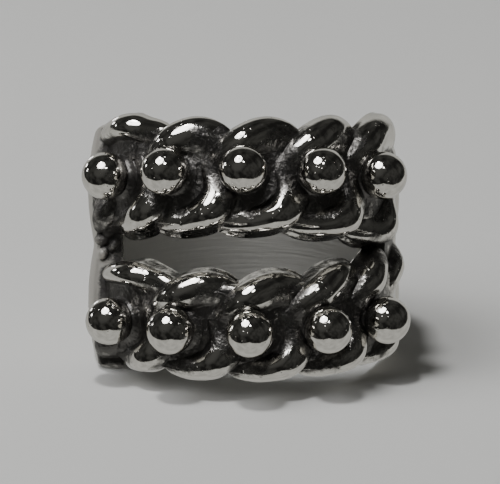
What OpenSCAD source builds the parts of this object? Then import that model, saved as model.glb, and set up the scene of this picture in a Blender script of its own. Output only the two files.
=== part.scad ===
// Two-row keeper ring, cast in one piece. Two rows of rope and beads part in a V at the front
// and join at the shoulders, which run into a plain domed shank. It lies on its side with its
// front to -Y, on the lower edge of its shoulders and shank, which tapers to the back.

/* [Finger hole] */
// Radius of the finger hole
hole_r = 10.3; // [10.1:0.1:10.5]

/* [Rows] */
// Lean of each row away from the middle of the ring, in degrees
row_lean = 6.5; // [6:0.1:7]
// Height of a row's middle over the ring's middle, at the finger's axis
row_offset = 4.3; // [4.2:0.05:4.4]
// Rise of the ropes over their row's middle from the front to the right side
rope_rise = 0.7; // [0.4:0.1:0.8]
// Growth of the ropes' height from the front to the right side, as a share
rope_growth = 0.06; // [0:0.01:0.08]
// Sinking of the ropes towards the finger from the front to the sides
rope_sink = 0.5; // [0.3:0.1:0.6]
// Turn of the upper row's pattern round the finger, in degrees
upper_turn = -0.9; // [-1.5:0.1:1.5]
// Turn of the lower row's pattern round the finger, in degrees
lower_turn = 1.3; // [-1.5:0.1:1.5]

/* [Beads] */
// Diameter of a bead
bead_d = 3.6; // [3.4:0.1:3.8]
// Distance from the finger's axis to a bead's centre
bead_r = 12.8; // [12.6:0.1:13]
// Angle between two beads, in degrees
bead_pitch = 27.2; // [26.6:0.1:27.8]
// Distance from the middle of a row to its beads, towards the ring's edge
bead_shift = 0.3; // [0.2:0.1:0.5]

/* [Shank] */
// Outer radius of the domed shoulders
shoulder_r = 12.1; // [12:0.1:12.3]
// Outer radius of the plain back
back_r = 12; // [11.8:0.1:12.2]
// Height of the shoulders
shoulder_h = 18.5; // [18:0.1:18.8]
// Height of the shank at the back
back_h = 10; // [9:0.5:10.5]
// Fall of the shank's dome from its crest to its edges
dome = 0.55; // [0.4:0.05:0.7]

/* [Hidden] */

BEADS = 5;
STRANDS = BEADS + 1;
UPPER = 1;
LOWER = -1;
ROUND = 180;
FLOOR_R = hole_r - 0.6;
FAR = 60;

// Discs under the strands, and the web between the rows that ends the V at both sides
BASE_R = 11.5;
BASE_H = 6.2;
BASE_BACK = 4;
WEB_R = 11.3;
WEB_H = 8;
WEB_FRONT = -4.2;

// The shoulders reach further forward on the left, where the pattern ends sooner
SHOULDER_TURN = 15;
SHOULDER_FRONT = -1.7;
SHOULDER_SHIFT = -0.7;
CREASE_LAP = 0.2;
BACK_SHIFT = 0.35;
TAPER_FRONT = -4;
ROPE_ROOM = 1.5;

// The ring lies on the tapered lower edge of its shank, which turns its front up
REST_TILT = atan2(shoulder_h / 2 - back_h / 2, back_r - TAPER_FRONT);
REST_RISE = shoulder_h / 2 * cos(REST_TILT) + TAPER_FRONT * sin(REST_TILT);
REST_FORWARD = 1.6;

// One strand of the rope, from its lower left tip to its upper right tip: angle from its crossing
// between two beads, height from the row's middle, radius of its crest, half its width,
// fall of its top from the crest to the edge, and rise of its left edge over its middle
ANGLE = 0;
HEIGHT = 1;
CREST = 2;
HALF_W = 3;
DOME = 4;
BANK = 5;
STRAND = [
    [-20, -3.6, 11.2, 0.5, 0.4, 0.0],
    [-15, -3.3, 12.0, 1.0, 0.8, -0.2],
    [-9, -2.75, 12.4, 1.55, 1.2, -0.4],
    [-3.5, -2.05, 12.5, 1.95, 1.2, -0.6],
    [0.5, -1.0, 12.25, 1.95, 0.5, -0.5],
    [3.5, 0.1, 11.9, 1.8, -0.2, 0.0],
    [8, 1.05, 12.1, 1.75, 0.4, 0.4],
    [14.5, 1.95, 12.45, 1.7, 1.0, 0.6],
    [22, 2.6, 12.5, 1.6, 1.2, 0.5],
    [30, 2.6, 12.1, 1.35, 0.9, 0.3],
    [37, 2.2, 11.4, 0.7, 0.5, 0.0],
];
WALL_FLARE = 0.2;
TOP_POINTS = 9;
RINGS = 24;
SLOPE_STEP = 0.05;

// The upper row starts at the left shoulder with the upper half of one more strand
START_STRAND = -3;
START_RING = 13;

// Smooth curve through the rows of a table, at a place counted in rows
function row_at(table, i) = table[max(0, min(len(table) - 1, i))];
function blend(p0, p1, p2, p3, f) =
    0.5 * (2 * p1 + (p2 - p0) * f + (2 * p0 - 5 * p1 + 4 * p2 - p3) * f * f
    + (3 * p1 - p0 - 3 * p2 + p3) * f * f * f);
function along(table, place) =
    let(k = min(floor(place), len(table) - 2))
    blend(row_at(table, k - 1), table[k], table[k + 1], row_at(table, k + 2), place - k);

// Point of a row's own frame at an angle round the finger, a height and a radius
function on_row(angle, height, radius) =
    let(
        r = radius - rope_sink * pow(1 - cos(angle), 2),
        right = pow(max(0, sin(angle)), 2)
    )
    [r * sin(angle), -r * cos(angle), height + right * (rope_rise + rope_growth * height)];

// Points across a strand: over its top from the left edge to the right, then its walls' two feet
function strand_ring(place, turn) =
    let(
        here = along(STRAND, place),
        ahead = along(STRAND, min(place + SLOPE_STEP, len(STRAND) - 1)),
        behind = along(STRAND, max(place - SLOPE_STEP, 0)),
        mm_per_degree = PI * here[CREST] / 180,
        run = (ahead[ANGLE] - behind[ANGLE]) * mm_per_degree,
        rise = ahead[HEIGHT] - behind[HEIGHT],
        left = [-rise / mm_per_degree, run] / norm([run, rise]),
        sides = [for (j = [0 : TOP_POINTS - 1]) 1 - 2 * j / (TOP_POINTS - 1)],
        foot = here[HALF_W] + WALL_FLARE
    )
    [
        for (s = sides)
            on_row(turn + here[ANGLE] + s * here[HALF_W] * left[0],
                here[HEIGHT] + s * here[HALF_W] * left[1],
                here[CREST] - here[DOME] * s * s + here[BANK] * s),
        for (s = [-1, 1])
            on_row(turn + here[ANGLE] + s * foot * left[0], here[HEIGHT] + s * foot * left[1], FLOOR_R)
    ];

// A strand from one of its rings to its upper right tip
module strand(turn, first_ring = 0) {
    n = TOP_POINTS + 2;
    rings = RINGS - first_ring;
    last = len(STRAND) - 1;
    points = [for (i = [first_ring : RINGS]) each strand_ring(i / RINGS * last, turn)];
    walls = [
        for (i = [0 : rings - 1], j = [0 : n - 1])
            let(a = i * n + j, b = i * n + (j + 1) % n, c = a + n, d = b + n)
            each [[a, d, b], [a, c, d]]
    ];
    tips = [
        for (j = [1 : n - 2], start = [0, rings * n])
            start == 0 ? [0, j, j + 1] : [start, start + j + 1, start + j]
    ];
    polyhedron(points = points, faces = concat(walls, tips));
}

// Disc with a round rim whose section is one arc
module domed_disc(radius, height) {
    rotate_extrude($fn = ROUND)
    dome_section(radius, height);
}

// Half of a domed disc's section: an arc of the shank's dome over the given height
module dome_section(radius, height) {
    half = height / 2;
    arc_r = (half * half + dome * dome) / (2 * dome);
    intersection() {
        translate([radius - arc_r, 0])
        circle(r = arc_r, $fn = ROUND);
        translate([0, -half])
        square([radius, height]);
    }
}

// A row's own frame, leaning away from the ring's middle
module in_row(side) {
    translate([0, 0, side * row_offset])
    rotate([-side * row_lean, 0, 0])
    children();
}

module rope_and_beads(side, turn) {
    in_row(side) {
        for (i = [0 : STRANDS - 1])
            strand(turn + (i - (STRANDS - 1) / 2) * bead_pitch);
        for (i = [0 : BEADS - 1])
            rotate([0, 0, turn + (i - (BEADS - 1) / 2) * bead_pitch])
            translate([0, -bead_r, side * bead_shift])
            sphere(d = bead_d, $fn = 48);
        difference() {
            cylinder(r = BASE_R, h = BASE_H, center = true, $fn = ROUND);
            half_space(BASE_BACK);
        }
    }
}

// All that lies behind a plane across the ring
module half_space(front) {
    translate([-FAR / 2, front, -FAR / 2])
    cube(FAR);
}

// Side outline, tapering to the back: its lower edge is what the ring lies on
module side_outline(top_room) {
    front = 2 * TAPER_FRONT - back_r;
    front_half = shoulder_h - back_h / 2;
    rotate([90, 0, 90])
    linear_extrude(FAR, center = true)
    polygon([
        [front, -front_half], [back_r, -back_h / 2], [FAR, -back_h / 2],
        [FAR, back_h / 2], [back_r, back_h / 2], [front, front_half + top_room]
    ]);
}

// Shoulders: one hump for each row, with a crease between them
module shoulders() {
    translate([0, SHOULDER_SHIFT, 0])
    rotate_extrude($fn = ROUND)
    for (side = [UPPER, LOWER])
        translate([0, side * (shoulder_h / 4 - CREASE_LAP / 2)])
        dome_section(shoulder_r, shoulder_h / 2 + CREASE_LAP);
}

module shank() {
    intersection() {
        cylinder(r = WEB_R, h = WEB_H, center = true, $fn = ROUND);
        half_space(WEB_FRONT);
    }
    intersection() {
        union() {
            shoulders();
            translate([0, BACK_SHIFT, 0])
            domed_disc(back_r - BACK_SHIFT, back_h);
        }
        rotate([0, 0, SHOULDER_TURN])
        half_space(SHOULDER_FRONT);
        side_outline(0);
    }
}

// Turns the ring from its own frame, with the finger along Z, to the way it lies
module at_rest() {
    translate([0, REST_FORWARD, REST_RISE])
    rotate([-REST_TILT, 0, 0])
    children();
}

module keeper_ring() {
    color("silver")
    at_rest()
    difference() {
        intersection() {
            union() {
                in_row(UPPER)
                strand(upper_turn + START_STRAND * bead_pitch, START_RING);
                rope_and_beads(UPPER, upper_turn);
                rope_and_beads(LOWER, lower_turn);
                shank();
            }
            side_outline(ROPE_ROOM);
        }
        cylinder(r = hole_r, h = FAR, center = true, $fn = ROUND);
    }
}

keeper_ring();
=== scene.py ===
"""Double-row keeper ring in polished sterling silver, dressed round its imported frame.

The ring is one casting: two rows of twisted rope, each set with five round beads, part in a V at
the front and join at plain domed shoulders. Its own frame has the finger along Z and the front to
-Y, in millimetres; the finished meshes are turned to the way that the ring lies, in metres.
"""
import logging
import math
from dataclasses import dataclass, field
from enum import Enum

import bmesh
import bpy
from mathutils import Matrix, Vector
from mathutils.bvhtree import BVHTree


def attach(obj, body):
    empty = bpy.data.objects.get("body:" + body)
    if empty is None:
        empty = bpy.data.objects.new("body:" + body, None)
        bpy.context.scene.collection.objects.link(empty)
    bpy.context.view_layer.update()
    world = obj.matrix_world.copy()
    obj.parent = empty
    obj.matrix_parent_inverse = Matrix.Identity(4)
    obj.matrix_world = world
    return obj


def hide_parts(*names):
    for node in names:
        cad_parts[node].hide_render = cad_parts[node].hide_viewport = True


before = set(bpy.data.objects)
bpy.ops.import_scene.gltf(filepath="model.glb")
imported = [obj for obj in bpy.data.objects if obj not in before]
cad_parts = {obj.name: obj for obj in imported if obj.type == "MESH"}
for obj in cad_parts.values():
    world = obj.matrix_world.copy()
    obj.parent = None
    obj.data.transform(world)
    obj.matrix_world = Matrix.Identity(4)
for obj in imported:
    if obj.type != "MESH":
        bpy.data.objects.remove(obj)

LOG = logging.getLogger("keeper_ring")
MM = 0.001
TINY = 1e-6
MERGE = 1e-5
NEAR = 1e-3
NODE = "keeper_ring"
BODY = "ring_body"

# The vertex attributes that the silver reads: how enclosed a place is, which it paints darker as tarnish
# and painted shade, and what was only sanded
CREVICE = "crevice"
MATTE = "matte"

SMOOTH = {"interpolation_type": "SMOOTHSTEP"}


class Side(Enum):
    """Which of the two rows, with its direction along the finger."""

    UPPER = 1
    LOWER = -1


class Joining(Enum):
    """How other solids change a base solid."""

    UNITE = "UNION"
    CUT = "DIFFERENCE"


@dataclass(frozen=True)
class Station:
    """One place along a strand of the rope, from its lower left tip to its upper right tip.

    Its section is a ridge that falls to both sides in a quarter of an ellipse, with sloping walls
    below them. Angle in degrees from the strand's crossing between two beads, the rest in mm.
    """

    angle: float
    height: float
    crest: float
    half_foot: float
    ridge: float
    left_reach: float
    left_fall: float
    right_reach: float
    right_fall: float


@dataclass(frozen=True)
class Course:
    """A strand's stations, and where its sides run out into the valley between the lobes."""

    stations: tuple[Station, ...]
    left_until: float
    right_from: float

    def at(self, place: float) -> Station:
        """Reads the strand between its stations on a smooth curve.

        Args:
            place: Place along the strand, counted in stations.

        Returns:
            The station there.
        """
        last = len(self.stations) - 1
        first = min(int(place), last - 1)
        f = place - first
        rows = [self.stations[min(last, max(0, i))] for i in range(first - 1, first + 3)]

        def mix(name: str) -> float:
            """Reads one value on the cubic curve through the stations on both sides of the place."""
            before, start, end, after = (getattr(row, name) for row in rows)
            return 0.5 * (
                2 * start + (end - before) * f + (2 * before - 5 * start + 4 * end - after) * f * f
                + (3 * start - before - 3 * end + after) * f ** 3
            )

        return Station(*(mix(name) for name in Station.__dataclass_fields__))


STRAND = Course((
    Station(-25, -3.3, 10.55, 0.8, -0.1, 0.5, 0.2, 0.4, 0.2),
    Station(-18, -3.3, 11.1, 1.3, -0.35, 1.0, 0.6, 0.6, 0.45),
    Station(-10.5, -2.9, 11.95, 1.85, -0.8, 1.3, 1.1, 0.7, 0.65),
    Station(-3.5, -2.05, 12.6, 2.55, -1.1, 1.35, 1.35, 1.2, 0.9),
    Station(0.5, -1.0, 12.2, 2.95, -0.9, 1.35, 1.1, 1.8, 1.1),
    Station(3.5, 0.1, 11.7, 2.6, -0.2, 1.5, 0.5, 2.1, 0.8),
    Station(8, 1.05, 12.2, 2.15, 0.5, 1.2, 1.2, 1.4, 0.9),
    Station(14.5, 1.95, 12.6, 2.1, 0.5, 1.4, 1.45, 1.35, 1.1),
    Station(22, 2.6, 12.15, 2.0, 0.45, 1.4, 1.3, 1.35, 0.85),
    Station(30, 2.6, 11.4, 1.75, 0.35, 1.2, 0.9, 1.2, 0.6),
    Station(37, 2.2, 10.9, 1.1, 0.2, 0.7, 0.5, 0.8, 0.4),
), 5.0, 3.5)

# The first strand of a row leaves the left shoulder nearly level, and its other half starts there
FIRST_LOBE = Course((
    Station(-3, 2.6, 11.7, 0.9, 0.2, 0.6, 0.6, 0.6, 0.6),
    Station(1, 2.55, 12.1, 1.3, 0.4, 0.8, 0.9, 0.7, 0.8),
    Station(6, 2.55, 12.35, 1.6, 0.55, 1.0, 1.2, 0.75, 1.0),
    Station(12, 2.65, 12.55, 1.8, 0.65, 1.1, 1.4, 0.75, 1.1),
    Station(18, 2.8, 12.65, 1.9, 0.65, 1.15, 1.45, 0.8, 1.15),
    Station(22, 2.9, 12.45, 1.85, 0.55, 1.15, 1.3, 0.85, 1.0),
    Station(27, 2.9, 11.9, 1.65, 0.4, 1.05, 1.0, 0.9, 0.7),
    Station(34, 2.8, 11.75, 1.3, 0.3, 0.9, 0.8, 0.8, 0.6),
    Station(42, 2.5, 11.6, 0.8, 0.1, 0.5, 0.5, 0.5, 0.4),
), -2.0, -2.0)
FIRST_HALF = Course(STRAND.stations[:6], 5.0, 3.5)

# The upper row's last lobe in front reaches further round, and the one behind it stays lower
LONG_LOBE = Course((
    *STRAND.stations[:8],
    Station(22, 2.6, 12.5, 2.0, 0.45, 1.4, 1.4, 1.35, 0.95),
    Station(30, 2.75, 12.3, 1.85, 0.35, 1.3, 1.2, 1.3, 0.8),
    Station(38, 2.6, 11.4, 1.2, 0.2, 0.8, 0.6, 0.9, 0.5),
), 5.0, 3.5)
LOW_LOBE = Course((
    *STRAND.stations[:6],
    Station(8, 0.9, 12.0, 2.0, 0.3, 1.2, 1.1, 1.4, 0.9),
    Station(14.5, 1.3, 12.0, 1.8, 0.3, 1.2, 1.1, 1.3, 0.9),
    Station(22, 1.6, 11.7, 1.6, 0.3, 1.1, 1.0, 1.2, 0.8),
    Station(30, 1.7, 11.2, 1.3, 0.2, 0.9, 0.7, 1.0, 0.6),
    Station(37, 1.7, 10.9, 0.9, 0.1, 0.6, 0.5, 0.7, 0.4),
), 5.0, 3.5)


@dataclass(frozen=True)
class Drift:
    """How far a row's strands drift up from an even rope, in mm, as its maker laid them by hand.

    Each triple gives the drift in front, and what the left and the right side add to it.
    """

    low_tips: tuple[float, float, float]
    high_tips: tuple[float, float, float]
    tip_height: float = 3.6

    def at(self, angle: float, height: float) -> float:
        """Finds the drift at a point of the row.

        Args:
            angle: Angle round the finger from the front, in radians.
            height: Height over the row's middle, in millimetres.

        Returns:
            The drift upwards, in millimetres.
        """
        side = math.sin(angle) ** 2
        low, high = (
            front + side * (left if angle < 0 else right)
            for front, left, right in (self.low_tips, self.high_tips)
        )
        return low + (high - low) * (height + self.tip_height) / (2 * self.tip_height)


DRIFT = {
    Side.UPPER: Drift((0.08, 0.25, -0.5), (0.0, 0.7, 0.8)),
    Side.LOWER: Drift((0.03, 0.35, 0.55), (-0.42, 0.25, 0.95)),
}

# Radius and height of the solder collar's section, from the bead's centre along the bead's own axis
COLLAR = (
    (0.0, -1.0), (1.48, -1.05), (1.55, -1.15), (1.66, -1.25), (1.82, -1.33), (1.98, -1.38), (1.98, -2.0),
    (0.0, -2.0),
)


@dataclass(frozen=True)
class RingSizes:
    """Driving dimensions of the ring in its own frame, in millimetres and degrees."""

    hole_r: float = 10.3
    foot_depth: float = 0.6
    row_lean: float = 6.5
    row_offset: float = 4.3
    rope_sink: float = 0.5
    upper_turn: float = -0.9
    lower_turn: float = 1.3
    bead_d: float = 3.6
    bead_r: float = 12.8
    bead_pitch: float = 27.2
    bead_shift: float = 0.3
    beads: int = 5
    shoulder_r: float = 12.1
    back_r: float = 12.0
    shoulder_h: float = 18.5
    back_h: float = 10.0
    dome: float = 0.55
    back_round: float = 1.04
    base_r: float = 11.5
    base_h: float = 6.2
    base_back: float = 4.0
    web_r: float = 11.3
    web_h: float = 8.0
    web_front: float = -4.2
    shoulder_shift: float = -0.7
    back_shift: float = 0.35
    taper_front: float = -4.0
    crease_lap: float = 0.2
    rest_forward: float = 1.6

    @property
    def floor_r(self) -> float:
        """Radius of the feet of all that the bore cuts through."""
        return self.hole_r - self.foot_depth

    @property
    def rest_tilt(self) -> float:
        """Turn in radians that lays the tapered lower edge on the surface."""
        return math.atan2((self.shoulder_h - self.back_h) / 2, self.back_r - self.taper_front)

    @property
    def to_rest(self) -> Matrix:
        """Finds how the ring lies.

        Returns:
            Transform from the ring's own frame in millimetres to the frame at rest in metres.
        """
        rise = self.shoulder_h / 2 * math.cos(self.rest_tilt)
        rise += self.taper_front * math.sin(self.rest_tilt)
        place = Matrix.Translation((0, self.rest_forward, rise))
        return Matrix.Scale(MM, 4) @ place @ Matrix.Rotation(-self.rest_tilt, 4, "X")

    def half_height(self, y: float) -> float:
        """Finds half of the shank's height at a place from front to back.

        Args:
            y: Place along the ring's depth.

        Returns:
            Half of the height, full at the shoulders and tapering in a straight line behind them.
        """
        share = (y - self.taper_front) / (self.back_r - self.taper_front)
        share = min(1.0, max(0.0, share))
        return (self.shoulder_h + (self.back_h - self.shoulder_h) * share) / 2


SIZES = RingSizes()


def smooth_step(low: float, high: float, value: float) -> float:
    """Rises smoothly from 0 at low to 1 at high.

    Args:
        low: Where the rise starts.
        high: Where the rise ends, which may lie below its start.
        value: Place to read.

    Returns:
        A share from 0 to 1.
    """
    share = min(1.0, max(0.0, (value - low) / (high - low)))
    return share * share * (3 - 2 * share)


def smooth_max(one: float, other: float, blend: float) -> float:
    """Takes the larger of two values, with a smooth change from one to the other.

    Args:
        one: First value.
        other: Second value.
        blend: Difference over which they blend.

    Returns:
        The larger value, or a little more where they are nearly equal.
    """
    share = min(1.0, max(0.0, 0.5 + (one - other) / (2 * blend)))
    return other + (one - other) * share + blend * share * (1 - share)


def domed(radius: float, half: float, dome: float, off: float) -> float:
    """Finds the radius of a domed band.

    Args:
        radius: Radius at the band's middle.
        half: Half of the band's width.
        dome: How much lower its edges are than its middle.
        off: Distance from its middle.

    Returns:
        The radius there.
    """
    arc = (half ** 2 + dome ** 2) / (2 * dome)
    return radius - arc + math.sqrt(arc ** 2 - off ** 2)


def off_centre(radius: float, shift: float, angle: float) -> float:
    """Finds how far a circle round a shifted centre is from the finger's axis.

    Args:
        radius: The circle's radius.
        shift: How far its centre lies behind the axis.
        angle: Angle round the finger from the front, in radians.

    Returns:
        The distance from the axis at that angle.
    """
    return -shift * math.cos(angle) + math.sqrt(radius ** 2 - (shift * math.sin(angle)) ** 2)


@dataclass(frozen=True)
class Ramp:
    """A smooth change from 0 at one value to 1 at another."""

    zero: float
    one: float

    def at(self, value: float) -> float:
        """Reads the ramp at a value."""
        return smooth_step(self.zero, self.one, value)


def new_object(name: str, bm: bmesh.types.BMesh) -> bpy.types.Object:
    """Makes an object of a bmesh and frees the bmesh.

    Args:
        name: Name of the object and its mesh.
        bm: The finished shape.

    Returns:
        The linked object.
    """
    mesh = bpy.data.meshes.new(name)
    bm.to_mesh(mesh)
    bm.free()
    thing = bpy.data.objects.new(name, mesh)
    bpy.context.scene.collection.objects.link(thing)
    return thing


def solid_object(name: str, bm: bmesh.types.BMesh) -> bpy.types.Object:
    """Makes an object of a closed bmesh, with its faces turned outwards."""
    bmesh.ops.recalc_face_normals(bm, faces=bm.faces)
    return new_object(name, bm)


def cylinder(radius: float, height: float, steps: int) -> bmesh.types.BMesh:
    """Starts a bmesh with an upright closed cylinder.

    Args:
        radius: Its radius.
        height: Its height, half of it below the middle.
        steps: Number of sides.

    Returns:
        The bmesh.
    """
    bm = bmesh.new()
    bmesh.ops.create_cone(bm, cap_ends=True, segments=steps, radius1=radius, radius2=radius, depth=height)
    return bm


def spun(section: list[tuple[float, float]], steps: int) -> bmesh.types.BMesh:
    """Starts a bmesh with a section spun round Z.

    Args:
        section: Radius and height of each point, from axis to axis.
        steps: Number of sides.

    Returns:
        The closed bmesh.
    """
    bm = bmesh.new()
    verts = [bm.verts.new((radius, 0, height)) for radius, height in section]
    edges = [bm.edges.new(pair) for pair in zip(verts, verts[1:])]
    bmesh.ops.spin(
        bm, geom=verts + edges, cent=(0, 0, 0), axis=(0, 0, 1), angle=2 * math.pi, steps=steps,
        use_merge=True,
    )
    bmesh.ops.remove_doubles(bm, verts=bm.verts, dist=MERGE)
    return bm


def is_level(edge: bmesh.types.BMEdge) -> bool:
    """Tells whether an edge lies level."""
    return abs(edge.verts[0].co.z - edge.verts[1].co.z) < NEAR


def round_edges(bm: bmesh.types.BMesh, edges: list[bmesh.types.BMEdge], width: float, steps: int) -> None:
    """Rounds edges of a solid.

    Args:
        bm: The solid.
        edges: The edges.
        width: How far from the edge the rounding starts.
        steps: Number of faces across it.
    """
    bmesh.ops.bevel(
        bm, geom=edges, offset=width, offset_type="OFFSET", affect="EDGES", segments=steps, profile=0.5,
        material=-1,
    )


def cut_flat(bm: bmesh.types.BMesh, y: float, way: int) -> None:
    """Cuts a solid flat across its depth and closes the cut.

    Args:
        bm: The solid.
        y: Where the cut lies.
        way: 1 takes away what lies behind the cut, -1 what lies in front of it.
    """
    cut = bmesh.ops.bisect_plane(
        bm, geom=bm.verts[:] + bm.edges[:] + bm.faces[:], plane_co=(0, y, 0), plane_no=(0, way, 0),
        clear_outer=True,
    )
    bmesh.ops.holes_fill(bm, edges=[e for e in cut["geom_cut"] if isinstance(e, bmesh.types.BMEdge)])


def combine(base: bpy.types.Object, others: list[bpy.types.Object], joining: Joining) -> None:
    """Unites other solids with a base solid, or cuts them from it, and removes them.

    Args:
        base: Solid that is changed.
        others: Solids that are used up.
        joining: Whether they are united with it or cut from it.
    """
    for other in others:
        modifier = base.modifiers.new(other.name, "BOOLEAN")
        modifier.operation = joining.value
        modifier.solver = "MANIFOLD"
        modifier.object = other
    evaluated = base.evaluated_get(bpy.context.evaluated_depsgraph_get())
    mesh = bpy.data.meshes.new_from_object(evaluated)
    base.modifiers.clear()
    old = base.data
    base.data = mesh
    bpy.data.meshes.remove(old)
    for other in others:
        bpy.data.meshes.remove(other.data)


@dataclass
class RopeRow:
    """One row of rope and beads, built in its own frame and leaned away from the ring's middle.

    The way round a strand's section has its top first, then the right wall, the foot and the left
    wall. The shares are of that way, look_ahead and run_out are counted in stations.
    """

    side: Side
    sizes: RingSizes = SIZES
    around: int = 80
    rings: int = 110
    top_share: float = 0.6
    wall_share: float = 0.15
    look_ahead: float = 0.05
    run_out: float = 1.5
    valley_r: float = 11.4
    fillet: float = 0.7
    foot_inset: float = 0.1
    least_wall: float = 0.1
    base_steps: int = 256
    base_edge: float = 0.5
    base_edge_steps: int = 6
    collar_steps: int = 64
    bead_subdivisions: int = 5

    @property
    def turn(self) -> float:
        """Turn of the row's pattern round the finger, in degrees."""
        return self.sizes.upper_turn if self.side is Side.UPPER else self.sizes.lower_turn

    @property
    def to_ring(self) -> Matrix:
        """Finds how the row lies.

        Returns:
            Transform from the row's frame to the ring's.
        """
        way = self.side.value
        lean = Matrix.Rotation(math.radians(-way * self.sizes.row_lean), 4, "X")
        return Matrix.Translation((0, 0, way * self.sizes.row_offset)) @ lean

    def on_row(self, angle: float, height: float, radius: float) -> Vector:
        """Places a point on the row, with its maker's drift.

        Args:
            angle: Angle round the finger from the front, in degrees.
            height: Height over the row's middle.
            radius: Distance from the finger's axis in front, less at the sides.

        Returns:
            The point in the row's frame.
        """
        a = math.radians(angle)
        r = radius - self.sizes.rope_sink * (1 - math.cos(a)) ** 2
        return Vector((r * math.sin(a), -r * math.cos(a), height + DRIFT[self.side].at(a, height)))

    def section_point(
        self, course: Course, place: float, here: Station, share: float,
    ) -> tuple[float, float]:
        """Finds a point of a strand's section, whose inner side runs out into the row's floor.

        Args:
            course: The strand's course.
            place: Place along the strand, counted in stations.
            here: The station there.
            share: Way round the section from its left edge over the ridge, from 0 to 1.

        Returns:
            Distance to the left of the strand's middle, and radius from the finger's axis.
        """
        inner = {
            1: 1 - smooth_step(course.left_until, course.left_until + self.run_out, place),
            -1: smooth_step(course.right_from, course.right_from + self.run_out, place),
        }
        reach = {1: here.left_reach, -1: here.right_reach}
        fall = {1: here.left_fall, -1: here.right_fall}
        ends = {}
        for way in (1, -1):
            bare = here.ridge + way * reach[way]
            ends[way] = bare + inner[way] * (way * (here.half_foot - self.foot_inset) - bare)

        def top(across: float) -> float:
            """Finds the height of the section's top.

            Args:
                across: Distance to the left of the strand's middle.

            Returns:
                Radius from the finger's axis.
            """
            way = 1 if across > here.ridge else -1
            q = min(1.0, abs(across - here.ridge) / reach[way])
            arched = here.crest - fall[way] * (1 - math.sqrt(1 - q * q))
            floor = self.sizes.hole_r + inner[way] * (self.valley_r - self.sizes.hole_r)
            return smooth_max(arched, floor, self.fillet * inner[way] + TINY)

        if share <= self.top_share:
            middle = (ends[1] + ends[-1]) / 2
            across = middle + (ends[1] - middle) * math.cos(share / self.top_share * math.pi)
            return across, top(across)
        foot_from = self.top_share + self.wall_share
        foot_until = 1 - self.wall_share
        if foot_from < share < foot_until:
            across = (2 * share - foot_from - foot_until) / (foot_until - foot_from)
            return here.half_foot * across, self.sizes.floor_r
        way = -1 if share <= foot_from else 1
        down = (share - self.top_share if way < 0 else 1 - share) / self.wall_share
        edge = top(ends[way])
        radius = edge + (self.sizes.floor_r - edge) * down
        out = min(1.0, (edge - radius) / max(self.least_wall, edge - self.sizes.hole_r))
        return ends[way] + (way * here.half_foot - ends[way]) * out, radius

    def strand_point(self, course: Course, place: float, share: float, turn: float) -> Vector:
        """Finds a point of a strand's skin.

        Args:
            course: The strand's course.
            place: Place along the strand, counted in stations.
            share: Way round the strand's section from its left edge over the ridge, from 0 to 1.
            turn: Where the strand crosses between two beads, in degrees.

        Returns:
            The point in the row's frame.
        """
        here = course.at(place)
        ahead = course.at(min(place + self.look_ahead, len(course.stations) - 1))
        behind = course.at(max(place - self.look_ahead, 0))
        mm_per_degree = math.pi * here.crest / 180
        run = (ahead.angle - behind.angle) * mm_per_degree
        rise = ahead.height - behind.height
        length = math.hypot(run, rise)
        left, radius = self.section_point(course, place, here, share)
        return self.on_row(
            turn + here.angle - left * rise / length / mm_per_degree,
            here.height + left * run / length,
            radius,
        )

    def strand(self, turn: float, course: Course = STRAND) -> bpy.types.Object:
        """Makes one strand of the rope from a tube of rings.

        Args:
            turn: Where the strand crosses between two beads, in degrees.
            course: The strand's course.

        Returns:
            The closed strand.
        """
        bm = cylinder(1, 1, self.around)
        long_edges = [e for e in bm.edges if not is_level(e)]
        bmesh.ops.subdivide_edges(bm, edges=long_edges, cuts=self.rings - 1, use_grid_fill=True)
        last = len(course.stations) - 1
        for v in bm.verts:
            place = min(last, max(0.0, (v.co.z + 0.5) * last))
            share = math.atan2(v.co.y, v.co.x) / (2 * math.pi) % 1
            v.co = self.strand_point(course, place, share, turn)
        bmesh.ops.transform(bm, matrix=self.to_ring, verts=bm.verts)
        return solid_object("strand", bm)

    def strands(self) -> list[bpy.types.Object]:
        """Makes all strands of the row, the first of them in two halves at the left shoulder.

        Returns:
            The strands, from left to right, and the other half of the first one.
        """
        count = self.sizes.beads + 1
        turns = [self.turn + (i - (count - 1) / 2) * self.sizes.bead_pitch for i in range(count)]
        last = [LONG_LOBE, LOW_LOBE] if self.side is Side.UPPER else [STRAND, STRAND]
        courses = [FIRST_HALF, *[STRAND] * (count - 1 - len(last)), *last]
        made = [self.strand(turn, course) for turn, course in zip(turns, courses)]
        return [*made, self.strand(turns[0], FIRST_LOBE)]

    def base(self) -> bpy.types.Object:
        """Makes the disc under the strands, cut behind the ring's middle.

        Returns:
            The closed disc.
        """
        bm = cylinder(self.sizes.base_r, self.sizes.base_h, self.base_steps)
        round_edges(bm, [e for e in bm.edges if is_level(e)], self.base_edge, self.base_edge_steps)
        cut_flat(bm, self.sizes.base_back, 1)
        bmesh.ops.transform(bm, matrix=self.to_ring, verts=bm.verts)
        return solid_object("rope_base", bm)

    def bead_matrices(self) -> list[Matrix]:
        """Finds where the beads' centres lie.

        Returns:
            Transforms to the ring's frame, with Z outwards along each bead's own axis.
        """
        made = []
        for i in range(self.sizes.beads):
            turn = math.radians(self.turn + (i - (self.sizes.beads - 1) / 2) * self.sizes.bead_pitch)
            place = Matrix.Translation((0, -self.sizes.bead_r, self.side.value * self.sizes.bead_shift))
            outwards = Matrix.Rotation(math.pi / 2, 4, "X")
            made.append(self.to_ring @ Matrix.Rotation(turn, 4, "Z") @ place @ outwards)
        return made

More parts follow.
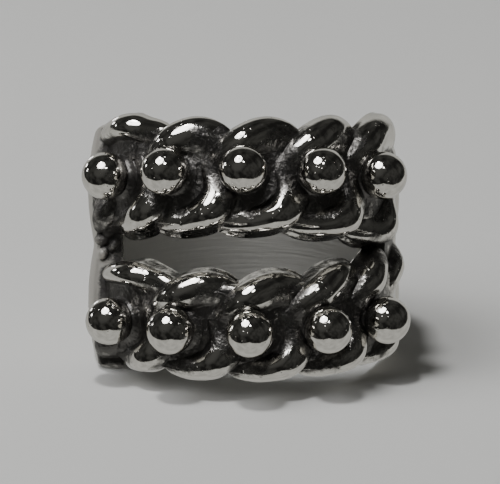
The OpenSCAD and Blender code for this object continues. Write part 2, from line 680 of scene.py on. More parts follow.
    def collars(self) -> list[bpy.types.Object]:
        """Makes the low collar of solder in which each bead sits.

        Returns:
            The closed collars, from left to right.
        """
        made = []
        for matrix in self.bead_matrices():
            bm = spun(list(COLLAR), self.collar_steps)
            bmesh.ops.transform(bm, matrix=matrix, verts=bm.verts)
            made.append(solid_object("collar", bm))
        return made

    def beads(self) -> list[bpy.types.Object]:
        """Makes the row's beads.

        Returns:
            The beads, from left to right.
        """
        made = []
        for i, matrix in enumerate(self.bead_matrices(), 1):
            bm = bmesh.new()
            bmesh.ops.create_icosphere(
                bm, subdivisions=self.bead_subdivisions, radius=self.sizes.bead_d / 2, matrix=matrix,
            )
            made.append(new_object(f"{self.side.name.lower()}_bead_{i}", bm))
        return made


@dataclass(frozen=True)
class Lump:
    """A lump of metal left from the casting: its middle in the ring's own frame, and its size."""

    x: float
    y: float
    z: float
    width: float
    height: float
    lean: float
    depth: float = 0.45


# The left end of the V was never cleaned up: a few rough lumps lie on the shoulder there
LUMPS = (
    Lump(-10.95, -4.35, 3.1, 0.55, 0.9, 15),
    Lump(-10.2, -4.55, 2.5, 0.45, 0.75, -25),
    Lump(-11.1, -4.25, 1.7, 0.5, 0.7, -10),
    Lump(-10.35, -4.5, 1.2, 0.5, 0.6, 35),
    Lump(-10.9, -4.35, 0.5, 0.6, 0.45, 0),
    Lump(-10.0, -4.6, 0.1, 0.55, 0.35, -50),
    Lump(-10.8, -4.4, -0.5, 0.4, 0.55, 30),
)


@dataclass
class Shank:
    """The plain shoulders and back, the web between the rows, and the finger hole.

    The ramps give where the shoulders rise out of the ropes, in degrees from the front.
    """

    sizes: RingSizes = SIZES
    around: int = 256
    section_points: int = 64
    cap_shares: tuple[float, ...] = (0.4, 0.8, 0.97)
    edge_share: float = 0.975
    blend: float = 0.25
    left_ramp: Ramp = Ramp(61.0, 70.0)
    right_ramp: Ramp = Ramp(80.0, 99.0)
    web_edge: float = 0.9
    web_edge_steps: int = 8
    lump_subdivisions: int = 4
    bore_steps: int = 360
    cutter_size: float = 60.0

    def outer_radius(self, angle: float, height: float) -> float:
        """Finds the shank's outer radius.

        Args:
            angle: Angle round the finger from the front, in radians.
            height: Height over the ring's middle, as a share of half the height there.

        Returns:
            The radius, which falls inside the bore in front of the shoulders.
        """
        sizes = self.sizes
        half = sizes.shoulder_h / 4 + sizes.crease_lap / 2
        off = abs(height) * sizes.shoulder_h / 2 - (sizes.shoulder_h / 4 - sizes.crease_lap / 2)
        shoulder = off_centre(domed(sizes.shoulder_r, half, sizes.dome, off), sizes.shoulder_shift, angle)
        off = height * sizes.back_round * sizes.back_h / 2
        back = domed(sizes.back_r - sizes.back_shift, sizes.back_h / 2, sizes.dome, off)
        both = smooth_max(shoulder, off_centre(back, sizes.back_shift, angle), self.blend)
        degrees = math.degrees(angle)
        reach = self.left_ramp.at(-degrees) if degrees < 0 else self.right_ramp.at(degrees)
        return sizes.floor_r + (both - sizes.floor_r) * reach

    def body(self) -> bpy.types.Object:
        """Spins the shank's section and lays it on the shoulders' outline and taper.

        Returns:
            The closed shank, without its finger hole.
        """
        points = self.section_points
        shares = [-1 + 2 * i / points for i in range(points + 1)]
        section = [(0, -1), *((r, -1) for r in self.cap_shares)]
        section += [(1, share * self.edge_share) for share in shares]
        section += [*((r, 1) for r in reversed(self.cap_shares)), (0, 1)]
        bm = spun(section, self.around)
        for v in bm.verts:
            share = v.co.xy.length
            angle = math.atan2(v.co.x, -v.co.y) if share > TINY else 0.0
            radius = share * self.outer_radius(angle, v.co.z)
            x, y = radius * math.sin(angle), -radius * math.cos(angle)
            v.co = Vector((x, y, v.co.z * self.sizes.half_height(y)))
        return solid_object(BODY, bm)

    def web(self) -> bpy.types.Object:
        """Makes the web that ends the V between the rows at both sides.

        Returns:
            The closed web, without its finger hole.
        """
        front = self.sizes.web_front
        bm = cylinder(self.sizes.web_r, self.sizes.web_h, self.around)
        cut_flat(bm, front, -1)
        corners = [e for e in bm.edges if not is_level(e) and abs(e.verts[0].co.y - front) < NEAR]
        round_edges(bm, corners, self.web_edge, self.web_edge_steps)
        return solid_object("web", bm)

    def lumps(self) -> list[bpy.types.Object]:
        """Makes the lumps at the left end of the V.

        Returns:
            The lumps.
        """
        made = []
        for lump in LUMPS:
            bm = bmesh.new()
            bmesh.ops.create_icosphere(
                bm, subdivisions=self.lump_subdivisions, radius=1.0,
                matrix=Matrix.Translation((lump.x, lump.y, lump.z))
                @ Matrix.Rotation(math.radians(lump.lean), 4, "Y")
                @ Matrix.Diagonal((lump.width, lump.depth, lump.height, 1.0)),
            )
            made.append(new_object("lump", bm))
        return made

    def bore(self) -> bpy.types.Object:
        """Makes the solid that cuts the finger hole."""
        return new_object("bore", cylinder(self.sizes.hole_r, self.cutter_size, self.bore_steps))

    def surface(self) -> bpy.types.Object:
        """Makes a block of what lies under the surface that the ring rests on.

        Returns:
            The block in the ring's own frame.
        """
        bm = bmesh.new()
        under = Matrix.Translation((0, 0, -self.cutter_size / 2))
        bmesh.ops.create_cube(bm, size=self.cutter_size, matrix=under)
        in_mm = Matrix.Scale(1 / MM, 4)
        bmesh.ops.transform(bm, matrix=self.sizes.to_rest.inverted() @ in_mm.inverted(), verts=bm.verts)
        return new_object("surface", bm)


def hex_colour(code: str) -> tuple[float, float, float, float]:
    """Turns an sRGB hex colour to linear, on the standard's own curve.

    Args:
        code: Six hex digits.

    Returns:
        Linear red, green, blue and alpha.
    """
    parts = [int(code[i:i + 2], 16) / 255 for i in (0, 2, 4)]
    linear = [c / 12.92 if c <= 0.04045 else ((c + 0.055) / 1.055) ** 2.4 for c in parts]
    return (*linear, 1.0)


def add_node(
    tree: bpy.types.NodeTree, kind: str, settings: dict | None = None, links: dict | None = None,
) -> bpy.types.Node:
    """Adds a node with its settings and inputs.

    Args:
        tree: Tree that takes the node.
        kind: Blender's name of the node type.
        settings: Attributes of the node.
        links: Input by name or number, to an output socket or a plain value.

    Returns:
        The node.
    """
    node = tree.nodes.new(kind)
    for name, value in (settings or {}).items():
        setattr(node, name, value)
    for name, value in (links or {}).items():
        if isinstance(value, bpy.types.NodeSocket):
            tree.links.new(value, node.inputs[name])
        else:
            node.inputs[name].default_value = value
    return node


def empty_material(name: str) -> bpy.types.Material:
    """Makes a material whose node tree is empty.

    Args:
        name: Its name.

    Returns:
        The material.
    """
    material = bpy.data.materials.new(name)
    material.use_nodes = True
    material.node_tree.nodes.clear()
    return material


# Cast silver polished on a mop mirrors the lamps in hard-edged highlights on its crests, which the
# casting's slight waves bend. The deep places keep their cast skin, grey, rough and pebbly, and that grey
# is darkened further as painted shade where the metal encloses them. Real pits and pebbles are mostly too
# fine to show, under 0.1 mm, so both are drawn coarser.
@dataclass(frozen=True)
class CastSilver:
    """Sterling silver, cast and hand-polished, by default a little tarnished in its deep places, which are
    also painted darker as shade.

    The waves, ripples, pits and pebbles have their spacing and height in millimetres. The ranges
    are of the patterns that drive them: mottle, waves, and the distance to a pit's middle.
    """

    name: str = "sterling_silver_cast_and_polished"
    bright: str = "F1EEE8"
    # Colour of the deep places: tarnish, and painted shade where the metal encloses them
    tarnish_and_shade: str = "747270"
    roughness: float = 0.04
    hazy_roughness: float = 0.16
    deep_roughness: float = 0.38
    matte_roughness: float = 0.65
    mottle_mm: float = 0.9
    mottle_weight: float = 1.2
    grime_and_shade_range: tuple[float, float] = (0.85, 1.25)
    haze_range: tuple[float, float] = (0.45, 0.75)
    edge_mm: float = 0.1
    edge_samples: int = 8
    wave_mm: float = 1.7
    wave_height_mm: float = 0.012
    ripple_mm: float = 0.4
    ripple_height_mm: float = 0.007
    pit_spacing_mm: float = 0.38
    pit_depth_mm: float = 0.03
    pit_range: tuple[float, float] = (0.0, 0.19)
    pitted_range: tuple[float, float] = (0.44, 0.58)
    least_pitted: float = 0.12
    pebble_mm: float = 0.3
    pebble_height_mm: float = 0.08

    def material(self) -> bpy.types.Material:
        """Builds the material.

        Returns:
            The material, which reads the crevice and matte attributes of its mesh.
        """
        material = empty_material(self.name)
        tree = material.node_tree
        place = add_node(tree, "ShaderNodeTexCoord").outputs["Object"]

        # How enclosed a place is, broken up by blotches, gives the grime: tarnish, and painted shade that
        # is darker where the ring encloses a place
        deep = add_node(tree, "ShaderNodeAttribute", {"attribute_name": CREVICE}).outputs["Fac"]
        mottle = add_node(tree, "ShaderNodeTexNoise", {}, {
            "Vector": place, "Scale": 1 / (self.mottle_mm * MM), "Detail": 4.0, "Roughness": 0.65,
        }).outputs["Fac"]
        blotched = add_node(tree, "ShaderNodeMath", {"operation": "MULTIPLY_ADD"}, {
            0: mottle, 1: self.mottle_weight, 2: deep,
        }).outputs[0]
        grime_and_shade = add_node(tree, "ShaderNodeMapRange", SMOOTH, {
            "Value": blotched, "From Min": self.grime_and_shade_range[0], "From Max": self.grime_and_shade_range[1],
        }).outputs[0]

        # Worn edges first, then each finer pattern laid over the one before it
        edge = add_node(tree, "ShaderNodeBevel", {"samples": self.edge_samples}, {
            "Radius": self.edge_mm * MM,
        }).outputs[0]
        waves = add_node(tree, "ShaderNodeTexNoise", {}, {
            "Vector": place, "Scale": 1 / (self.wave_mm * MM), "Detail": 3.0, "Roughness": 0.4,
        }).outputs["Fac"]
        bump = add_node(tree, "ShaderNodeBump", {}, {
            "Height": waves, "Distance": self.wave_height_mm * MM, "Normal": edge,
        }).outputs[0]
        ripples = add_node(tree, "ShaderNodeTexNoise", {}, {
            "Vector": place, "Scale": 1 / (self.ripple_mm * MM), "Detail": 2.0,
        }).outputs["Fac"]
        bump = add_node(tree, "ShaderNodeBump", {}, {
            "Height": ripples, "Distance": self.ripple_height_mm * MM, "Normal": bump,
        }).outputs[0]
        cells = add_node(tree, "ShaderNodeTexVoronoi", {}, {
            "Vector": place, "Scale": 1 / (self.pit_spacing_mm * MM),
        })
        pit = add_node(tree, "ShaderNodeMapRange", SMOOTH, {
            "Value": cells.outputs["Distance"], "From Min": self.pit_range[0],
            "From Max": self.pit_range[1],
        }).outputs[0]
        pitted = add_node(tree, "ShaderNodeMapRange", SMOOTH, {
            "Value": waves, "From Min": self.pitted_range[0], "From Max": self.pitted_range[1],
            "To Min": self.least_pitted, "To Max": 1.0,
        }).outputs[0]
        bump = add_node(tree, "ShaderNodeBump", {}, {
            "Strength": pitted, "Height": pit, "Distance": self.pit_depth_mm * MM, "Normal": bump,
        }).outputs[0]
        pebbles = add_node(tree, "ShaderNodeTexNoise", {}, {
            "Vector": place, "Scale": 1 / (self.pebble_mm * MM), "Detail": 2.0,
        }).outputs["Fac"]
        bump = add_node(tree, "ShaderNodeBump", {}, {
            "Strength": grime_and_shade, "Height": pebbles, "Distance": self.pebble_height_mm * MM, "Normal": bump,
        }).outputs[0]

        # Colour and roughness follow the grime, which paints tarnish and shade into the colour, and the
        # sanded edge is rougher still
        colour = add_node(tree, "ShaderNodeMix", {"data_type": "RGBA"}, {
            0: grime_and_shade, 6: hex_colour(self.bright), 7: hex_colour(self.tarnish_and_shade),
        }).outputs[2]
        hazy = add_node(tree, "ShaderNodeMapRange", SMOOTH, {
            "Value": mottle, "From Min": self.haze_range[0], "From Max": self.haze_range[1],
            "To Min": self.roughness, "To Max": self.hazy_roughness,
        }).outputs[0]
        rough = add_node(tree, "ShaderNodeMapRange", {}, {
            "Value": grime_and_shade, "To Min": hazy, "To Max": self.deep_roughness,
        }).outputs[0]
        matte = add_node(tree, "ShaderNodeAttribute", {"attribute_name": MATTE}).outputs["Fac"]
        rough = add_node(tree, "ShaderNodeMapRange", {}, {
            "Value": matte, "To Min": rough, "To Max": self.matte_roughness,
        }).outputs[0]
        shader = add_node(tree, "ShaderNodeBsdfPrincipled", {}, {
            "Base Color": colour, "Metallic": 1.0, "Roughness": rough, "Normal": bump,
        }).outputs[0]
        add_node(tree, "ShaderNodeOutputMaterial", {}, {"Surface": shader})
        return material


# Silver turned and rubbed with fine abrasive is satin: it glows softly and mirrors nothing. The
# abrasive's lines round the hole are mostly too fine to show, under 0.05 mm, so they are drawn coarser.
@dataclass(frozen=True)
class SatinBore:
    """The finger hole's wall, with its lines drawn out round the hole to a fraction of their scale."""

    name: str = "sterling_silver_satin_bore"
    bright: str = "D3D2CE"
    roughness: float = 0.57
    roughness_swing: float = 0.08
    line_mm: float = 0.22
    line_height_mm: float = 0.02
    drawn_out: float = 0.05

    def material(self) -> bpy.types.Material:
        """Builds the material.

        Returns:
            The material.
        """
        material = empty_material(self.name)
        tree = material.node_tree
        place = add_node(tree, "ShaderNodeTexCoord").outputs["Object"]
        lined = add_node(tree, "ShaderNodeMapping", {}, {
            "Vector": place, "Rotation": (SIZES.rest_tilt, 0, 0),
            "Scale": (self.drawn_out, self.drawn_out, 1),
        }).outputs[0]
        lines = add_node(tree, "ShaderNodeTexNoise", {}, {
            "Vector": lined, "Scale": 1 / (self.line_mm * MM), "Detail": 3.0,
        }).outputs["Fac"]
        bump = add_node(tree, "ShaderNodeBump", {}, {
            "Height": lines, "Distance": self.line_height_mm * MM,
        }).outputs[0]
        rough = add_node(tree, "ShaderNodeMapRange", {}, {
            "Value": lines, "To Min": self.roughness - self.roughness_swing,
            "To Max": self.roughness + self.roughness_swing,
        }).outputs[0]
        shader = add_node(tree, "ShaderNodeBsdfPrincipled", {}, {
            "Base Color": hex_colour(self.bright), "Metallic": 1.0, "Roughness": rough, "Normal": bump,
        }).outputs[0]
        add_node(tree, "ShaderNodeOutputMaterial", {}, {"Surface": shader})
        return material


# Plain paper scatters the light evenly and mirrors next to nothing, so only its shade shows
@dataclass(frozen=True)
class Paper:
    """Plain paper, for what the ring lies on, and the dark sheet of painted shade inside the ring."""

    name: str
    colour: str
    gloss: float
    roughness: float = 0.9

    def material(self) -> bpy.types.Material:
        """Builds the material.

        Returns:
            The material.
        """
        material = empty_material(self.name)
        shader = add_node(material.node_tree, "ShaderNodeBsdfPrincipled", {}, {
            "Base Color": hex_colour(self.colour), "Roughness": self.roughness,
            "Specular IOR Level": self.gloss,
        }).outputs[0]
        add_node(material.node_tree, "ShaderNodeOutputMaterial", {}, {"Surface": shader})
        return material


@dataclass(frozen=True)
class GapEnd:
    """Where one end of the V is left rough and painted darker as shade: from below, from above, and from
    the back.
    """

    from_below: Ramp
    from_above: Ramp
    from_back: Ramp


@dataclass(frozen=True)
class PolishAndShadeMap:
    """What the polishing mop left out, and where the silver gets painted shade, in the ring's own frame in
    millimetres.

    Each method gives a share from 0 to 1, and each weight says how rough and how darkened that place is at
    most.
    """

    rows: tuple[RopeRow, ...]
    sizes: RingSizes = SIZES
    bead_line_weight: float = 0.42
    bead_line_radius: Ramp = Ramp(12.45, 12.0)
    bead_line_off: Ramp = Ramp(4.0, 3.0)
    bead_line_back: Ramp = Ramp(-1.0, -4.0)
    ends_weight: float = 0.45
    ends_side: Ramp = Ramp(8.8, 9.8)
    left_end: GapEnd = GapEnd(Ramp(-0.8, 0.3), Ramp(5.5, 4.5), Ramp(-2.8, -4.2))
    right_end: GapEnd = GapEnd(Ramp(-1.8, -1.0), Ramp(1.8, 1.0), Ramp(1.0, -2.0))
    # The hollow under the V's left end is darkened as a painted shadow
    hollow_shade_weight: float = 1.5
    hollow_x: float = -10.4
    hollow_z: float = -8.0
    hollow_squash: float = 0.8
    hollow_off: Ramp = Ramp(2.6, 0.9)
    wall_weight: float = 0.4
    wall_height: Ramp = Ramp(5.0, 3.8)
    wall_radius: Ramp = Ramp(12.0, 11.4)
    wall_facing: Ramp = Ramp(0.5, 0.8)
    wall_back: Ramp = Ramp(-3.0, -5.0)
    sanded_front: Ramp = Ramp(-5.5, -4.8)
    sanded_back: Ramp = Ramp(2.0, -1.0)
    sanded_side: Ramp = Ramp(9.3, 10.2)
    sanded_below: Ramp = Ramp(-8.0, -6.5)

    def between_beads(self, place: Vector) -> float:
        """Finds how far a place lies in the low line of a row's beads, which the mop doesn't reach and
        where painted shade darkens it.

        Args:
            place: A point in the ring's own frame.

        Returns:
            A share from 0 to 1.
        """
        share = 0.0
        for row in self.rows:
            at = row.to_ring.inverted() @ place
            off = abs(at.z - row.side.value * self.sizes.bead_shift)
            sink = self.sizes.rope_sink * (1 + at.y / at.xy.length) ** 2
            low = self.bead_line_radius.at(at.xy.length + sink)
            near = self.bead_line_off.at(off) * self.bead_line_back.at(at.y)
            share = max(share, near * low)
        return share

    def unpolished_and_shaded(self, place: Vector) -> float:
        """Finds how far a place lies at the ends of the V, rough and darkened with painted shade, and in
        the hollow under its left end, which carries a painted shadow.

        Args:
            place: A point in the ring's own frame.

        Returns:
            A share from 0 to 1, and up to the hollow's own weight in the hollow.
        """
        end = self.left_end if place.x < 0 else self.right_end
        ends = end.from_below.at(place.z) * end.from_above.at(place.z) * self.ends_side.at(abs(place.x))
        off = math.hypot(place.x - self.hollow_x, self.hollow_squash * (place.z - self.hollow_z))
        return end.from_back.at(place.y) * max(ends, self.hollow_shade_weight * self.hollow_off.at(off))

    def gap_wall(self, place: Vector, normal: Vector) -> float:
        """Finds how far a place lies on a low wall of the V, too deep in the gap for the mop and darkened
        there with painted shade.

        Args:
            place: A point in the ring's own frame.
            normal: The surface's direction there.

        Returns:
            A share from 0 to 1.
        """
        facing = -normal.z if place.z > 0 else normal.z
        near = self.wall_height.at(abs(place.z)) * self.wall_radius.at(place.xy.length)
        return near * self.wall_facing.at(facing) * self.wall_back.at(place.y)

    def matte(self, place: Vector) -> float:
        """Finds how far a place lies on the left shoulder's front edge, which was only sanded.

        Args:
            place: A point in the ring's own frame.

        Returns:
            A share from 0 to 1.
        """
        front = self.sanded_front.at(place.y) * self.sanded_back.at(place.y)
        return front * self.sanded_side.at(-place.x) * self.sanded_below.at(place.z)

    def rough(self, place: Vector, normal: Vector) -> float:
        """Finds how rough a place was left, and how much painted shade darkens it.

        Args:
            place: A point in the ring's own frame.
            normal: The surface's direction there.

        Returns:
            The most that any of the rough and shaded places gives it.
        """
        return max(
            self.bead_line_weight * self.between_beads(place),
            self.ends_weight * self.unpolished_and_shaded(place),
            self.wall_weight * self.gap_wall(place, normal),
        )


@dataclass
class KeeperRing:
    """The whole casting: body and beads, with their finishes.

    A place counts as a crevice by how many of its probes, each probe_mm long, meet metal, and the silver
    paints its crevices darker as tarnish and painted shade.
    """

    sizes: RingSizes = SIZES
    silver: CastSilver = CastSilver()
    satin: SatinBore = SatinBore()
    probe_mm: float = 2.5
    probe_lift_mm: float = 0.02
    probes: int = 24
    sharp_degrees: float = 40.0
    merge_mm: float = 0.004
    sliver_mm: float = 0.002
    bore_margin_mm: float = 0.02
    rows: list[RopeRow] = field(default_factory=lambda: [RopeRow(side) for side in Side])

    def build(self) -> list[bpy.types.Object]:
        """Builds, dresses and places every piece.

        Returns:
            The body and the beads.
        """
        shank = Shank()
        body = shank.body()
        parts = [shank.web(), *shank.lumps()]
        for row in self.rows:
            parts += [row.base(), *row.strands(), *row.collars()]
        combine(body, parts, Joining.UNITE)
        combine(body, [shank.bore(), shank.surface()], Joining.CUT)
        self.clean(body)
        pieces = [body, *(bead for row in self.rows for bead in row.beads())]
        for piece in pieces:
            piece.data.transform(self.sizes.to_rest)
        tree = self.probe_tree(pieces)
        silver, satin = self.silver.material(), self.satin.material()
        for piece in pieces:
            self.dress(piece, tree, silver, satin)
        return pieces

    def clean(self, body: bpy.types.Object) -> None:
        """Merges doubles and turns the faces outwards.

        Args:
            body: The piece, in millimetres.
        """
        bm = bmesh.new()
        bm.from_mesh(body.data)
        bmesh.ops.remove_doubles(bm, verts=bm.verts, dist=self.merge_mm)
        bmesh.ops.dissolve_degenerate(bm, dist=self.sliver_mm, edges=bm.edges)
        bmesh.ops.triangulate(bm, faces=[f for f in bm.faces if len(f.verts) > 4])
        bmesh.ops.recalc_face_normals(bm, faces=bm.faces)
        bm.to_mesh(body.data)
        bm.free()

    def probe_tree(self, pieces: list[bpy.types.Object]) -> BVHTree:
        """Joins the pieces' faces in one tree for the crevice probes.

        Args:
            pieces: The pieces at rest, in metres.

        Returns:
            The tree.
        """
        bm = bmesh.new()
        for piece in pieces:
            bm.from_mesh(piece.data)
        bmesh.ops.triangulate(bm, faces=bm.faces)
        tree = BVHTree.FromBMesh(bm)
        bm.free()
        return tree

    def probe_rays(self) -> list[Vector]:
        """Spreads the probes evenly over the half sphere round Z.

        Returns:
            Their directions.
        """
        golden = math.pi * (3 - math.sqrt(5))
        rays = []
        for i in range(self.probes):
            up = 1 - (i + 0.5) / self.probes
            flat = math.sqrt(1 - up * up)
            rays.append(Vector((math.cos(i * golden) * flat, math.sin(i * golden) * flat, up)))
        return rays

    def crevices(self, piece: bpy.types.Object, tree: BVHTree) -> None:
        """Stores how enclosed each vertex is, from 0 to 1: how little a polishing mop reaches it, and how
        much painted shade the silver darkens it with.

        Args:
            piece: The piece at rest, in metres.
            tree: The faces of all pieces.
        """
        polish_and_shade = PolishAndShadeMap(tuple(self.rows))
        rays = self.probe_rays()
        back = self.sizes.to_rest.inverted()
        turn_back = back.to_3x3()
        reach = self.probe_mm * MM
        values = []
        sanded = []
        for v in piece.data.vertices:
            turn = v.normal.to_track_quat("Z", "Y")
            start = v.co + v.normal * self.probe_lift_mm * MM
            # The share of probes that meet metal is how enclosed a place is, which the silver paints as
            # shade
            met = sum(1 for ray in rays if tree.ray_cast(start, turn @ ray, reach)[0] is not None)
            value = met / len(rays)
            matte = 0.0
            if piece.name == BODY:
                place = back @ v.co
                matte = polish_and_shade.matte(place)
                value = 1 - (1 - value) * (1 - polish_and_shade.rough(place, (turn_back @ v.normal).normalized()))
            values.append(value)
            sanded.append(matte)
        for name, stored in ((CREVICE, values), (MATTE, sanded)):
            attribute = piece.data.attributes.new(name, "FLOAT", "POINT")
            attribute.data.foreach_set("value", stored)

    def dress(
        self, piece: bpy.types.Object, tree: BVHTree, silver: bpy.types.Material, satin: bpy.types.Material,
    ) -> None:
        """Gives a piece its finishes, its crevice map and its place in the frame.

        Args:
            piece: The piece at rest, in metres.
            tree: The faces of all pieces.
            silver: The polished finish.
            satin: The finger hole's finish.
        """
        mesh = piece.data
        mesh.materials.clear()
        mesh.materials.append(silver)
        mesh.materials.append(satin)
        back = self.sizes.to_rest.inverted()
        for polygon in mesh.polygons:
            polygon.use_smooth = True
            centre = back @ polygon.center
            bored = centre.xy.length < self.sizes.hole_r + self.bore_margin_mm
            polygon.material_index = 1 if bored and piece.name == BODY else 0
        mesh.set_sharp_from_angle(angle=math.radians(self.sharp_degrees))
        self.crevices(piece, tree)
        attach(piece, "root")
        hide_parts(NODE)


@dataclass(frozen=True)
class Lamp:
    """A round soft lamp that faces the ring.

    Elevation over the horizon and azimuth from the front to the left are in degrees, the width
    and the distance from the ring in metres, the power in watts. A lamp that reflections see
    lights no floor, and one that they don't see lights the floor alone.
    """

    name: str
    elevation: float
    azimuth: float
    width: float
    power: float
    distance: float = 0.5
    reflected: bool = True


LAMPS = (
    Lamp("key_softbox", 63, 46, 0.29, 1.15),
    Lamp("left_lamp", 60, 88, 0.26, 0.95, 0.5, False),
    Lamp("side_lamp", 38, 62, 0.35, 0.65, 0.5, False),
    Lamp("top_lamp", 80, 100, 0.07, 1.3, 0.5, False),
    Lamp("small_lamp_left", 72, 80, 0.06, 0.12),
    Lamp("small_lamp_right", 55, -5, 0.06, 0.12),
    Lamp("far_lamp_1", 14, 106, 0.07, 0.06),
    Lamp("far_lamp_2", 12, 133, 0.07, 0.06),
    Lamp("far_lamp_3", 8, 158, 0.07, 0.06),
    Lamp("overhead_fill", 85, 180, 0.8, 0.1, 0.8, False),
)


@dataclass(frozen=True)
class Room:
    """The room that the ring reflects: pale below and behind, dark in front and above.

    The edge between them is tilted and rises to both sides. The ranges are of a direction's height
    over that edge, its share to the back, the clouds' pattern, and its likeness to the glow's.
    """

    tilt_degrees: float = 22
    side_rise: float = 0.35
    edge_range: tuple[float, float] = (-0.03, 0.03)
    behind_range: tuple[float, float] = (0.68, 0.84)
    cloud_scale: float = 2.2
    cloud_range: tuple[float, float] = (0.38, 0.64)
    glow_way: tuple[float, float, float] = (-0.42, -0.72, 0.55)
    glow_range: tuple[float, float] = (0.8, 1.0)
    pale: tuple[str, str] = ("A4A4A0", "B8B8B4")
    dark: tuple[str, str] = ("1C1C1B", "3A3A38")
    glow: str = "444442"

    def world(self) -> bpy.types.World:
        """Builds the world.

        Returns:
            The world.
        """
        world = bpy.data.worlds.new("room")
        world.use_nodes = True
        tree = world.node_tree
        tree.nodes.clear()
        way = add_node(tree, "ShaderNodeTexCoord").outputs["Generated"]
        tilt = math.radians(self.tilt_degrees)
        height = add_node(tree, "ShaderNodeVectorMath", {"operation": "DOT_PRODUCT"}, {
            0: way, 1: (0, -math.sin(tilt), math.cos(tilt)),
        }).outputs["Value"]
        split = add_node(tree, "ShaderNodeSeparateXYZ", {}, {0: way})
        aside = add_node(tree, "ShaderNodeMath", {"operation": "ABSOLUTE"}, {
            0: split.outputs["X"],
        }).outputs[0]
        height = add_node(tree, "ShaderNodeMath", {"operation": "MULTIPLY_ADD"}, {
            0: aside, 1: self.side_rise, 2: height,
        }).outputs[0]
        over = add_node(tree, "ShaderNodeMapRange", SMOOTH, {
            "Value": height, "From Min": self.edge_range[0], "From Max": self.edge_range[1],
        }).outputs[0]
        not_behind = add_node(tree, "ShaderNodeMapRange", SMOOTH, {
            "Value": split.outputs["Y"], "From Min": self.behind_range[0],
            "From Max": self.behind_range[1], "To Min": 1.0, "To Max": 0.0,
        }).outputs[0]
        share = add_node(tree, "ShaderNodeMath", {"operation": "MULTIPLY"}, {
            0: over, 1: not_behind,
        }).outputs[0]
        clouds = add_node(tree, "ShaderNodeTexNoise", {}, {
            "Vector": way, "Scale": self.cloud_scale, "Detail": 2.0,
        }).outputs["Fac"]
        clouds = add_node(tree, "ShaderNodeMapRange", {}, {
            "Value": clouds, "From Min": self.cloud_range[0], "From Max": self.cloud_range[1],
        }).outputs[0]
        likeness = add_node(tree, "ShaderNodeVectorMath", {"operation": "DOT_PRODUCT"}, {
            0: way, 1: self.glow_way,
        }).outputs["Value"]
        glow = add_node(tree, "ShaderNodeMapRange", SMOOTH, {
            "Value": likeness, "From Min": self.glow_range[0], "From Max": self.glow_range[1],
        }).outputs[0]
        pale, dark = (
            add_node(tree, "ShaderNodeMix", {"data_type": "RGBA"}, {
                0: clouds, 6: hex_colour(low), 7: hex_colour(high),
            }).outputs[2]
            for low, high in (self.pale, self.dark)
        )
        dark = add_node(tree, "ShaderNodeMix", {"data_type": "RGBA"}, {
            0: glow, 6: dark, 7: hex_colour(self.glow),
        }).outputs[2]
        colour = add_node(tree, "ShaderNodeMix", {"data_type": "RGBA"}, {
            0: share, 6: pale, 7: dark,
        }).outputs[2]
        background = add_node(tree, "ShaderNodeBackground", {}, {
            "Color": colour, "Strength": 1.0,
        }).outputs[0]
        add_node(tree, "ShaderNodeOutputWorld", {}, {"Surface": background})
        return world


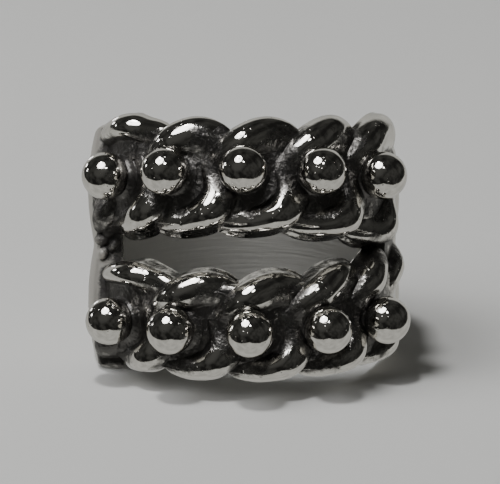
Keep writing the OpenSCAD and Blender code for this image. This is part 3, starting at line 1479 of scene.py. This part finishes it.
@dataclass
class Studio:
    """A plain pale floor, a dark sheet of painted shade inside the ring, soft lamps, the room and the
    camera.

    The camera's lens and frame are in the photo's pixels, and it aims right_mm and up_mm off the
    ring's middle. The shade's radius and lift are in millimetres.
    """

    sizes: RingSizes = SIZES
    room: Room = Room()
    floor_paper: Paper = Paper("pale_paper_floor", "D2D2D0", 0.1)
    # Painted shade: a dark sheet that stands for the unlit floor inside the ring
    painted_shade_sheet: Paper = Paper("painted_shade_dark_sheet", "1E1E1D", 0.5)
    floor_half_m: float = 2.0
    shade_r: float = 9.5
    shade_lift: float = 0.05
    shade_steps: int = 48
    lamp_aim_m: float = 0.01
    frame_px: float = 500.0
    focal_px: float = 3900.0
    sensor_mm: float = 36.0
    clip_m: tuple[float, float] = (0.01, 10.0)
    distance_mm: float = 300.0
    over_middle_degrees: float = 2.75
    right_mm: float = 0.31
    up_mm: float = 0.115

    def camera(self) -> None:
        """Sets the camera a little over the ring's own middle plane, looking at its front."""
        data = bpy.data.cameras.new("camera")
        data.sensor_width = self.sensor_mm
        data.lens = self.focal_px / self.frame_px * self.sensor_mm
        data.clip_start, data.clip_end = self.clip_m
        camera = bpy.data.objects.new("camera", data)
        bpy.context.scene.collection.objects.link(camera)
        lift = math.radians(self.over_middle_degrees)
        place = self.sizes.to_rest
        turn = place.to_3x3().normalized()
        back = turn @ Vector((0, -math.cos(lift), math.sin(lift)))
        up = turn @ Vector((0, math.sin(lift), math.cos(lift)))
        aim = place @ Vector((0, 0, 0)) + (Vector((1, 0, 0)) * self.right_mm + up * self.up_mm) * MM
        camera.location = aim + back * self.distance_mm * MM
        camera.rotation_mode = "QUATERNION"
        camera.rotation_quaternion = (-back).to_track_quat("-Z", "Y")
        bpy.context.scene.camera = camera

    def floor(self) -> bpy.types.Object:
        """Lays the pale floor, which reflections don't see: the room stands for it there.

        Returns:
            The floor.
        """
        bm = bmesh.new()
        bmesh.ops.create_grid(bm, x_segments=1, y_segments=1, size=self.floor_half_m)
        floor = new_object("floor", bm)
        floor.data.materials.append(self.floor_paper.material())
        floor.visible_glossy = False
        return floor

    def shade(self) -> bpy.types.Object:
        """Lays painted shade: a dark sheet inside the ring, standing for the floor where no lamp reaches
        it.

        Returns:
            The shade, which only reflections see.
        """
        bm = bmesh.new()
        bmesh.ops.create_circle(
            bm, cap_ends=True, segments=self.shade_steps, radius=self.shade_r * MM,
            matrix=Matrix.Translation((0, self.sizes.rest_forward * MM, self.shade_lift * MM)),
        )
        shade = new_object("painted_shade_in_ring", bm)
        # The sheet's dark colour is painted shade
        shade.data.materials.append(self.painted_shade_sheet.material())
        shade.visible_camera = shade.visible_diffuse = shade.visible_shadow = False
        return shade

    def hang(self, lamp: Lamp) -> None:
        """Hangs a lamp.

        Args:
            lamp: What it is and where it goes.
        """
        data = bpy.data.lights.new(lamp.name, "AREA")
        data.shape = "DISK"
        data.size = lamp.width
        data.energy = lamp.power
        light = bpy.data.objects.new(lamp.name, data)
        bpy.context.scene.collection.objects.link(light)
        up, aside = math.radians(lamp.elevation), math.radians(lamp.azimuth)
        way = Vector((-math.sin(aside) * math.cos(up), -math.cos(aside) * math.cos(up), math.sin(up)))
        light.location = way * lamp.distance + Vector((0, 0, self.lamp_aim_m))
        light.rotation_mode = "QUATERNION"
        light.rotation_quaternion = (-way).to_track_quat("-Z", "Y")
        light.visible_glossy = lamp.reflected
        light.visible_diffuse = not lamp.reflected
        light.visible_camera = False

    def build(self) -> list[bpy.types.Object]:
        """Sets up the whole studio.

        Returns:
            The floor and the shade.
        """
        self.camera()
        made = [self.floor(), self.shade()]
        bpy.context.scene.world = self.room.world()
        for lamp in LAMPS:
            self.hang(lamp)
        return made


def main() -> None:
    """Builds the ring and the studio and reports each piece."""
    logging.basicConfig(level=logging.INFO, format="%(message)s")
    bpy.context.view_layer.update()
    for piece in KeeperRing().build() + Studio().build():
        LOG.info("%s: %d faces", piece.name, len(piece.data.polygons))


if __name__ == "__main__":
    main()
